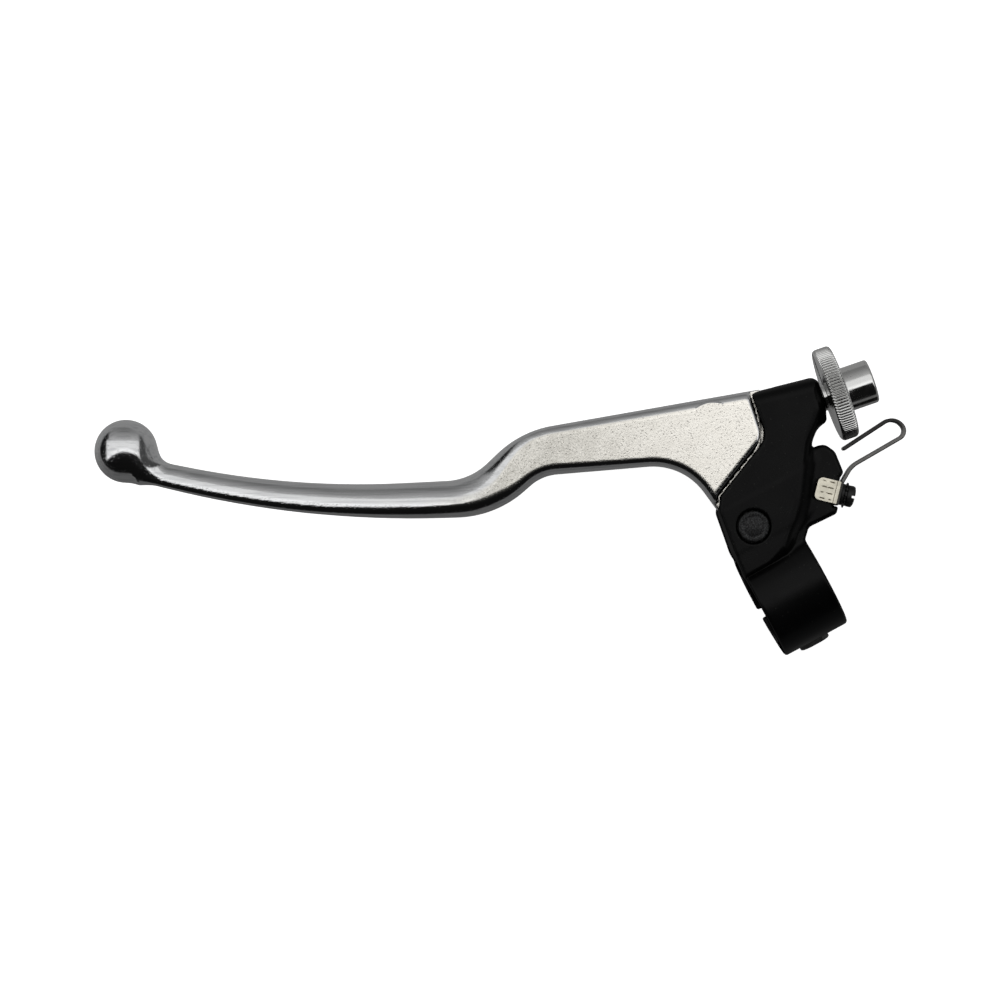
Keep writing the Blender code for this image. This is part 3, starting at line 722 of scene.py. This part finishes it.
def build_screw(black):
    place = lying(SCREW_SEAT, SCREW_HEADING)
    ring = ((2.3, 1.5, 0.1), (3.1, 1.5, 0.15), (3.1, 2.4, 0.15), (2.3, 2.4, 0.1))
    washer = mesh_object("flat_washer_ring", turned(ring, bored=True), place)
    place_piece(washer, "perch", "flat_washer", black)
    ring = ((2.3, 2.6, 0.05), (3.5, 2.6, 0.05), (3.5, 3.1, 0.05), (2.3, 3.1, 0.05))
    washer = mesh_object("tooth_washer_ring", turned(ring, bored=True, reach=toothed), place)
    place_piece(washer, "perch", "tooth_washer", black)
    head = 3.3
    profile = (
        (0.0, -8.0, 0.0),
        (1.6, -8.0, 0.0),
        (2.0, -7.6, 0.0),
        (2.0, head, 0.0),
        (3.05, head, 0.12),
        (3.1, head + 1.9, 0.7),
        (2.0, head + 2.3, 1.5),
        (0.0, head + 2.4, 0.0),
    )
    screw = mesh_object("screw_turned", turned(profile), place)
    cut_away(screw, slab((-0.375, -5.0, head + 1.3), (0.375, 5.0, head + 5.0)), place)
    place_piece(screw, "perch", "spring_screw", black)


# ---- Clamp bolt ----


def clamp_bolt_field(x, y, z):
    across, up, out = x - BOLT_PLACE.x, z - BOLT_PLACE.z, -y
    seat = 11.7
    reach = np.hypot(across, up)
    shank = meet(reach - 3.0, np.abs(out - 2.0) - 10.3, 0.5)
    flange = meet(reach - 6.4, np.abs(out - seat - 0.45) - 0.45, 0.3)
    cone = np.maximum(reach * 0.45 + (out - seat - 1.45) * 0.893 - 1.6, np.maximum(reach - 5.9, seat - out))
    head = hexagon_solid(across, up, -out, 8.0, -seat - 6.0, -seat - 0.3)
    head = carve(head, np.hypot(reach, out - seat - 8.2) - 3.0, 0.4)
    body = merge(np.minimum(flange, cone), head, 0.6)
    return np.minimum(body, shank)


def build_clamp_bolt(black):
    low, high = (-6.8, -18.3, BOLT_PLACE.z - 6.8), (6.8, 8.7, BOLT_PLACE.z + 6.8)
    bolt = field_object("clamp_bolt_hexagon", clamp_bolt_field, low, high, 0.2)
    place_piece(bolt, "perch", "clamp_bolt", black)


# ---- Finishes ----


class Finish:
    """A Principled material, with short ways to add texture to it. Scales are per metre."""

    def __init__(self, name, colour, metallic, roughness):
        self.material = bpy.data.materials.new(name)
        self.material.use_nodes = True
        self.nodes = self.material.node_tree.nodes
        self.links = self.material.node_tree.links
        self.shader = self.nodes["Principled BSDF"]
        self.set("Base Color", (*colour, 1.0))
        self.set("Metallic", metallic)
        self.set("Roughness", roughness)
        self.coordinates = self.nodes.new("ShaderNodeTexCoord")
        self.place = self.coordinates.outputs["Object"]

    def set(self, socket, value):
        self.shader.inputs[socket].default_value = value

    def noise(self, scale, detail=2.0, length=1.0, heading=0.0):
        """Noise that may be drawn out to a length times its width, along a level heading."""
        mapping = self.nodes.new("ShaderNodeMapping")
        mapping.vector_type = "TEXTURE"
        mapping.inputs["Scale"].default_value = (length, 1.0, 1.0)
        mapping.inputs["Rotation"].default_value = (0.0, 0.0, heading)
        texture = self.nodes.new("ShaderNodeTexNoise")
        texture.inputs["Scale"].default_value = scale
        texture.inputs["Detail"].default_value = detail
        self.links.new(self.place, mapping.inputs["Vector"])
        self.links.new(mapping.outputs["Vector"], texture.inputs["Vector"])
        return texture.outputs["Fac"]

    def along(self, direction, start=0.0):
        """How far a place on the object lies along a direction, past a start, in metres."""
        node = self.nodes.new("ShaderNodeVectorMath")
        node.operation = "DOT_PRODUCT"
        node.inputs[1].default_value = direction
        self.links.new(self.place, node.inputs[0])
        shift = self.nodes.new("ShaderNodeMath")
        shift.inputs[1].default_value = start
        self.links.new(node.outputs["Value"], shift.inputs[0])
        return shift.outputs["Value"]

    def height(self):
        return self.along((0.0, 0.0, 1.0))

    def upward(self):
        """How far the surface faces straight up or down, by the object's own axes."""
        node = self.nodes.new("ShaderNodeVectorMath")
        node.operation = "DOT_PRODUCT"
        node.inputs[1].default_value = (0.0, 0.0, 1.0)
        self.links.new(self.coordinates.outputs["Normal"], node.inputs[0])
        size = self.nodes.new("ShaderNodeMath")
        size.operation = "ABSOLUTE"
        self.links.new(node.outputs["Value"], size.inputs[0])
        return size.outputs["Value"]

    def wave(self, value, per_metre):
        """A wave along a value, from 0 to 1 and back per_metre times a metre."""
        node = self.nodes.new("ShaderNodeMath")
        node.operation = "MULTIPLY"
        node.inputs[1].default_value = per_metre
        self.links.new(value, node.inputs[0])
        saw = self.nodes.new("ShaderNodeMath")
        saw.operation = "PINGPONG"
        saw.inputs[1].default_value = 1.0
        self.links.new(node.outputs["Value"], saw.inputs[0])
        return saw.outputs["Value"]

    def spread(self, value, low, high, first=0.0, last=1.0):
        """The value from low to high, taken to first to last with soft ends."""
        node = self.nodes.new("ShaderNodeMapRange")
        node.interpolation_type = "SMOOTHSTEP"
        node.inputs["From Min"].default_value = low
        node.inputs["From Max"].default_value = high
        node.inputs["To Min"].default_value = first
        node.inputs["To Max"].default_value = last
        self.links.new(value, node.inputs["Value"])
        return node.outputs["Result"]

    def sum(self, a, b, operation="ADD"):
        node = self.nodes.new("ShaderNodeMath")
        node.operation = operation
        self.links.new(a, node.inputs[0])
        self.links.new(b, node.inputs[1])
        return node.outputs["Value"]

    def mix(self, factor, first, last, most=1.0):
        """From the first colour to the last, each a plain colour or a socket; most limits the factor."""
        node = self.nodes.new("ShaderNodeMix")
        node.data_type = "RGBA"
        for socket, colour in (("A", first), ("B", last)):
            if isinstance(colour, tuple):
                node.inputs[socket].default_value = (*colour, 1.0)
            else:
                self.links.new(colour, node.inputs[socket])
        if most < 1.0:
            factor = self.spread(factor, 0.0, 1.0, 0.0, most)
        self.links.new(factor, node.inputs["Factor"])
        return node.outputs["Result"]

    def use(self, value, socket):
        self.links.new(value, self.shader.inputs[socket])

    def bump(self, height, depth):
        """Bumps the surface by height times depth, in millimetres."""
        node = self.nodes.new("ShaderNodeBump")
        node.inputs["Distance"].default_value = depth * MM
        self.links.new(height, node.inputs["Height"])
        self.links.new(node.outputs["Normal"], self.shader.inputs["Normal"])


def black_paint():
    """Satin black paint with a fine grain and a few specks of dust."""
    black, dust = (0.0022, 0.0022, 0.0023), (0.02, 0.02, 0.018)
    paint = Finish("satin_black_paint", black, 0.0, 0.3)
    paint.use(paint.spread(paint.upward(), 0.1, 0.5, 0.0, 0.105), "Specular IOR Level")
    grain = paint.noise(2600, 3)
    cloud = paint.noise(120, 2)
    speck = paint.spread(paint.noise(1900, 0), 0.80, 0.85)
    paint.use(paint.spread(cloud, 0.3, 0.7, 0.26, 0.34), "Roughness")
    paint.use(paint.mix(speck, black, dust), "Base Color")
    paint.bump(paint.sum(grain, cloud), 0.012)
    return paint.material


def cast_aluminium():
    """Polished cast aluminium, with a warm, finely speckled finish on the flat faces near the pivot, and a
    painted highlight that brightens those faces from dim grey to cream towards the pivot.
    """
    bright, dull = (0.66, 0.665, 0.67), (0.56, 0.565, 0.57)
    metal = Finish("polished_cast_aluminium", bright, 1.0, 0.15)
    flat = metal.spread(metal.upward(), 0.93, 0.99)
    place = metal.along((math.cos(LEVER_ANGLE), math.sin(LEVER_ANGLE), 0.0))
    hub = metal.spread(place, -0.108, -0.080)
    face = metal.sum(flat, hub, "MULTIPLY")
    fine_pits = metal.spread(metal.noise(2200, 1), 0.60, 0.72)
    pits = metal.sum(fine_pits, metal.spread(metal.noise(1100, 2), 0.68, 0.76), "MAXIMUM")
    patches = metal.spread(metal.noise(260, 3), 0.3, 0.7)
    mottle = metal.sum(patches, metal.spread(metal.noise(2000, 3), 0.3, 0.7))
    # Painted highlight: the flat faces' colour runs from dim grey to bright cream towards the pivot,
    # standing in for the light's brightness across them.
    cream = metal.mix(metal.spread(place, -0.085, -0.015), (0.55, 0.535, 0.49), (0.87, 0.84, 0.775))
    cream = metal.mix(metal.spread(mottle, 0.2, 1.8), cream, (0.93, 0.905, 0.845), 0.4)
    cream = metal.mix(pits, cream, (0.36, 0.34, 0.31), 0.6)
    streaks = metal.noise(1300, 3, 25.0, LEVER_ANGLE)
    drawn = metal.mix(metal.spread(streaks, 0.42, 0.68), bright, dull)
    metal.use(metal.mix(face, drawn, cream), "Base Color")
    metal.use(metal.spread(face, 0.0, 1.0, 0.13, 0.24), "Roughness")
    grain = metal.sum(metal.noise(2300, 3), metal.noise(1200, 2))
    metal.bump(metal.sum(grain, pits, "SUBTRACT"), 0.012)
    return metal.material


def chrome_plate():
    bright, stained = (0.66, 0.66, 0.65), (0.42, 0.415, 0.40)
    metal = Finish("bright_chrome", bright, 1.0, 0.12)
    cloud = metal.noise(250, 3)
    stain = metal.spread(metal.noise(900, 2), 0.62, 0.75)
    metal.use(metal.mix(stain, bright, stained), "Base Color")
    metal.use(metal.spread(cloud, 0.3, 0.7, 0.08, 0.2), "Roughness")
    metal.bump(metal.noise(1100, 2), 0.006)
    return metal.material


def dark_steel():
    """Rough phosphated steel, as on the pivot bolt's head."""
    metal = Finish("phosphated_steel", (0.03, 0.03, 0.031), 0.6, 0.55)
    crust = metal.noise(2300, 4)
    shade = metal.mix(metal.spread(crust, 0.35, 0.7), (0.006, 0.006, 0.0065), (0.04, 0.041, 0.042))
    metal.use(shade, "Base Color")
    metal.use(metal.spread(crust, 0.3, 0.7, 0.62, 0.42), "Roughness")
    metal.bump(crust, 0.09)
    return metal.material


def zinc_plate():
    bright, dull = (0.66, 0.66, 0.65), (0.52, 0.53, 0.53)
    metal = Finish("zinc_plate", bright, 1.0, 0.34)
    cloud = metal.noise(500, 3)
    metal.use(metal.mix(metal.spread(cloud, 0.35, 0.65), bright, dull), "Base Color")
    metal.use(metal.spread(cloud, 0.3, 0.7, 0.28, 0.44), "Roughness")
    metal.bump(metal.noise(2400, 2), 0.01)
    return metal.material


def spring_strip():
    """Rolled spring strip: cream where it faces up as a tab, dark on its sides, with painted shade that
    darkens it further towards the loop, and scratches across.
    """
    metal = Finish("rolled_spring_steel", (0.68, 0.645, 0.54), 1.0, 0.28)
    out = (math.cos(SCREW_HEADING), math.sin(SCREW_HEADING), 0.0)
    across = (-out[1], out[0], 0.0)
    place = metal.along(out, -SCREW_SEAT.dot(Vector(out)) * MM)
    side = metal.along(across, -SCREW_SEAT.dot(Vector(across)) * MM)
    top = metal.spread(metal.height(), 0.0108, 0.0114)
    tab = metal.sum(top, metal.spread(metal.upward(), 0.7, 0.95), "MULTIPLY")
    lines = metal.spread(metal.wave(side, 1200), 0.68, 0.9)
    patchy = metal.spread(metal.noise(500, 1), 0.36, 0.46)
    past, short = metal.spread(place, -0.0050, -0.0042), metal.spread(place, -0.0016, -0.0010, 1.0, 0.0)
    middle = metal.sum(past, short, "MULTIPLY")
    scratch = metal.sum(metal.sum(lines, patchy, "MULTIPLY"), middle, "MULTIPLY")
    corner = metal.spread(place, -0.0012, -0.0006)
    fold = metal.sum(metal.spread(metal.wave(place, 1700), 0.75, 0.95), corner, "MULTIPLY")
    dark = metal.sum(scratch, fold, "MAXIMUM")
    cloud = metal.noise(350, 3)
    cream = metal.mix(dark, (0.68, 0.645, 0.54), (0.12, 0.10, 0.07))
    # Painted shade: the strip's colour goes from grey on the lower arm to near black on the loop's far arm,
    # standing in for how the light falls on it.
    ahead = metal.spread(metal.along((0.0, 1.0, 0.0)), 0.0245, 0.0285)
    body = metal.mix(ahead, (0.13, 0.128, 0.124), (0.035, 0.034, 0.033))
    metal.use(metal.mix(tab, body, cream), "Base Color")
    metal.use(metal.spread(cloud, 0.3, 0.7, 0.22, 0.34), "Roughness")
    metal.bump(metal.sum(cloud, dark, "SUBTRACT"), 0.01)
    return metal.material


def black_oxide():
    dark, worn = (0.010, 0.010, 0.010), (0.03, 0.03, 0.028)
    metal = Finish("black_oxide_steel", dark, 0.3, 0.45)
    cloud = metal.noise(1500, 3)
    metal.use(metal.mix(metal.spread(cloud, 0.45, 0.75), dark, worn), "Base Color")
    metal.use(metal.spread(cloud, 0.3, 0.7, 0.38, 0.56), "Roughness")
    metal.bump(cloud, 0.02)
    return metal.material


def white_nylon():
    nylon = Finish("nylon", (0.72, 0.73, 0.68), 0.0, 0.45)
    cloud = nylon.noise(900, 2)
    nylon.use(nylon.mix(cloud, (0.76, 0.77, 0.72), (0.66, 0.67, 0.62)), "Base Color")
    nylon.bump(nylon.noise(2400, 2), 0.01)
    return nylon.material


# ---- Camera, floor and studio ----

VIEW_CENTRE = (-0.0606, 0.06275)
VIEW_HEIGHT = 1.155
SENSOR_WIDTH = 36.0
LENS = 145.2
FLOOR_RADIUS = 4.0
FLOOR_GAP = 0.0005


def add_camera():
    data = bpy.data.cameras.new("camera")
    data.sensor_width = SENSOR_WIDTH
    data.lens = LENS
    camera = bpy.data.objects.new("camera", data)
    bpy.context.scene.collection.objects.link(camera)
    camera.location = (*VIEW_CENTRE, VIEW_HEIGHT)
    camera.rotation_euler = (0, 0, LEVER_ANGLE)
    bpy.context.scene.camera = camera


def add_floor():
    low, _ = cad_bounds
    bm = bmesh.new()
    bmesh.ops.create_circle(bm, cap_ends=True, segments=96, radius=FLOOR_RADIUS)
    bmesh.ops.translate(bm, vec=(*VIEW_CENTRE, low[2] - FLOOR_GAP), verts=bm.verts)
    mesh = bpy.data.meshes.new("floor")
    bm.to_mesh(mesh)
    bm.free()
    floor = bpy.data.objects.new("floor", mesh)
    bpy.context.scene.collection.objects.link(floor)
    sheet = Finish("white_floor", (0.92, 0.92, 0.92), 0.0, 0.9)
    sheet.set("Specular IOR Level", 0.0)
    sheet.set("Emission Color", (1.0, 1.0, 1.0, 1.0))
    sheet.set("Emission Strength", 0.85)
    sheet.material.cycles.emission_sampling = "NONE"
    mesh.materials.append(sheet.material)
    floor.visible_glossy = False
    floor.visible_diffuse = False


def add_studio():
    """Surroundings laid out as a mirror ball seen from above would show them.

    A bright patch lies over the middle, with a dim wall ahead of it, black round both, and grey
    past a dark circle."""
    world = bpy.data.worlds.new("studio")
    bpy.context.scene.world = world
    world.use_nodes = True
    nodes, links = world.node_tree.nodes, world.node_tree.links
    nodes.clear()

    def math_node(operation, *inputs):
        node = nodes.new("ShaderNodeMath")
        node.operation = operation
        for socket, value in zip(node.inputs, inputs):
            if isinstance(value, float):
                socket.default_value = value
            else:
                links.new(value, socket)
        return node.outputs["Value"]

    def along(direction):
        node = nodes.new("ShaderNodeVectorMath")
        node.operation = "DOT_PRODUCT"
        node.inputs[1].default_value = direction
        links.new(nodes["direction"].outputs["Generated"], node.inputs[0])
        return node.outputs["Value"]

    def spread(value, low, high, first=0.0, last=1.0):
        node = nodes.new("ShaderNodeMapRange")
        node.interpolation_type = "SMOOTHSTEP"
        for socket, level in zip(list(node.inputs)[1:5], (low, high, first, last)):
            socket.default_value = level
        links.new(value, node.inputs["Value"])
        return node.outputs["Result"]

    def within(value, low, high, soft):
        return math_node("MULTIPLY", spread(value, low - soft, low + soft),
                         spread(value, high - soft, high + soft, 1.0, 0.0))

    nodes.new("ShaderNodeTexCoord").name = "direction"
    ahead = (-math.sin(LEVER_ANGLE), math.cos(LEVER_ANGLE), 0.0)
    sideways = (math.cos(LEVER_ANGLE), math.sin(LEVER_ANGLE), 0.0)
    above = math_node("ADD", along((0.0, 0.0, 2.0)), 2.0)
    reach = math_node("SQRT", math_node("MAXIMUM", above, 0.0001))
    right = math_node("DIVIDE", along(sideways), reach)
    top = math_node("DIVIDE", along(ahead), reach)

    arch = math_node("MULTIPLY", math_node("MULTIPLY", right, right), 0.76)
    past_edge = math_node("ADD", top, arch)
    patch = math_node("MULTIPLY", within(right, -0.58, 0.45, 0.03), spread(top, 0.30, 0.36, 1.0, 0.0))
    patch = math_node("MULTIPLY", patch, spread(past_edge, -0.04, 0.0))
    patch = math_node("MULTIPLY", patch, spread(past_edge, 0.02, 0.14, 1.38, 1.0))
    wall = nodes.new("ShaderNodeValToRGB")
    levels = ((0.0, 0.0), (0.31, 0.0), (0.36, 0.53), (0.49, 0.37), (0.62, 0.25), (0.75, 0.2), (0.9, 0.34))
    while len(wall.color_ramp.elements) < len(levels):
        wall.color_ramp.elements.new(0.5)
    for element, (place, level) in zip(wall.color_ramp.elements, levels):
        element.position = place
        element.color = (level, level, level, 1.0)
    links.new(top, wall.inputs["Fac"])
    wall = math_node("MULTIPLY", wall.outputs["Color"], within(right, -0.52, 0.44, 0.06))
    ring = math_node("ADD", math_node("POWER", math_node("ADD", right, 0.07), 2.0),
                     math_node("POWER", math_node("ADD", top, -0.03), 2.0))
    dark = spread(ring, 0.49, 0.55, 1.0, 0.0)
    ground = spread(top, -0.8, 0.4, 0.14, 0.33)
    inner = math_node("ADD", math_node("ADD", patch, wall), spread(right, 0.44, 0.52, 0.006, 0.07))
    light = nodes.new("ShaderNodeMix")
    links.new(dark, light.inputs["Factor"])
    links.new(ground, light.inputs["A"])
    links.new(inner, light.inputs["B"])
    seen = nodes.new("ShaderNodeMix")
    seen.inputs["B"].default_value = 1.0
    links.new(nodes.new("ShaderNodeLightPath").outputs["Is Camera Ray"], seen.inputs["Factor"])
    links.new(light.outputs["Result"], seen.inputs["A"])
    background = nodes.new("ShaderNodeBackground")
    links.new(seen.outputs["Result"], background.inputs["Color"])
    output = nodes.new("ShaderNodeOutputWorld")
    links.new(background.outputs["Background"], output.inputs["Surface"])
    bpy.context.scene.view_settings.view_transform = "Standard"
    bpy.context.scene.view_settings.look = "None"


def main():
    add_camera()
    add_floor()
    add_studio()
    black = black_oxide()
    zinc = zinc_plate()
    build_perch(black_paint())
    build_lever(cast_aluminium())
    build_pivot(dark_steel(), zinc, white_nylon())
    build_adjuster(chrome_plate())
    build_spring(spring_strip())
    build_screw(black)
    build_clamp_bolt(black)


main()
